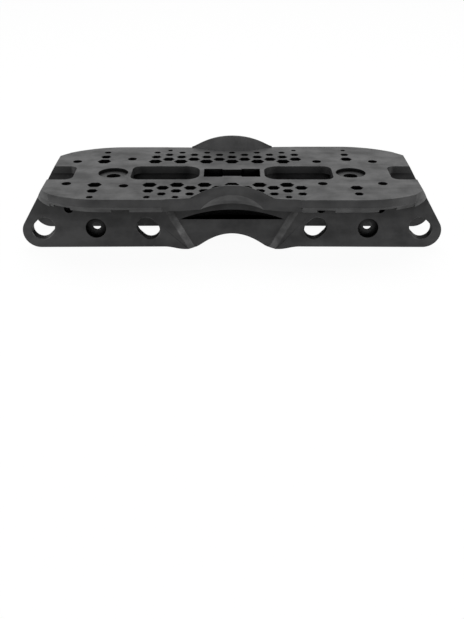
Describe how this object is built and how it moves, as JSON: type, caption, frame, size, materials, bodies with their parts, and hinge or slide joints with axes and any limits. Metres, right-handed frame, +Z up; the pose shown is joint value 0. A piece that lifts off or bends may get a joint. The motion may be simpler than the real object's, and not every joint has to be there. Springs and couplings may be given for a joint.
{
  "type": "aggressive inline skate frame",
  "caption": "Grind frame for an aggressive inline skate: flat deck with a hexagon lattice and soul plates, rails with axle holes below, and an arched centre block with upturned lips above it.",
  "frame": {"origin": "midway between the two boot bolt holes, on the floor of their round seats in the deck", "axes": "+X along the frame to the toe, +Y to the wide outer soul plate, +Z up out of the deck to the boot"},
  "size_m": [0.289, 0.1159, 0.0579],
  "materials": {
    "deck": "fine moulded grain",
    "soul": "fine moulded grain",
    "rail": "fine moulded grain",
    "block": "smooth satin",
    "web": "fine moulded grain"
  },
  "bodies": {
    "root": {"deck_plate": "deck", "lip_outer": "deck", "lip_inner": "deck", "soul_toe_outer": "soul", "soul_toe_inner": "soul", "soul_heel_outer": "soul", "soul_heel_inner": "soul", "mid_outer": "soul", "mid_inner": "soul", "rail_toe_outer": "rail", "rail_toe_inner": "rail", "rail_heel_outer": "rail", "rail_heel_inner": "rail", "centre_block": "block", "bridge_toe": "web", "bridge_heel": "web", "cross_rib_toe": "web", "cross_rib_heel": "web"}
  },
  "joints": []
}
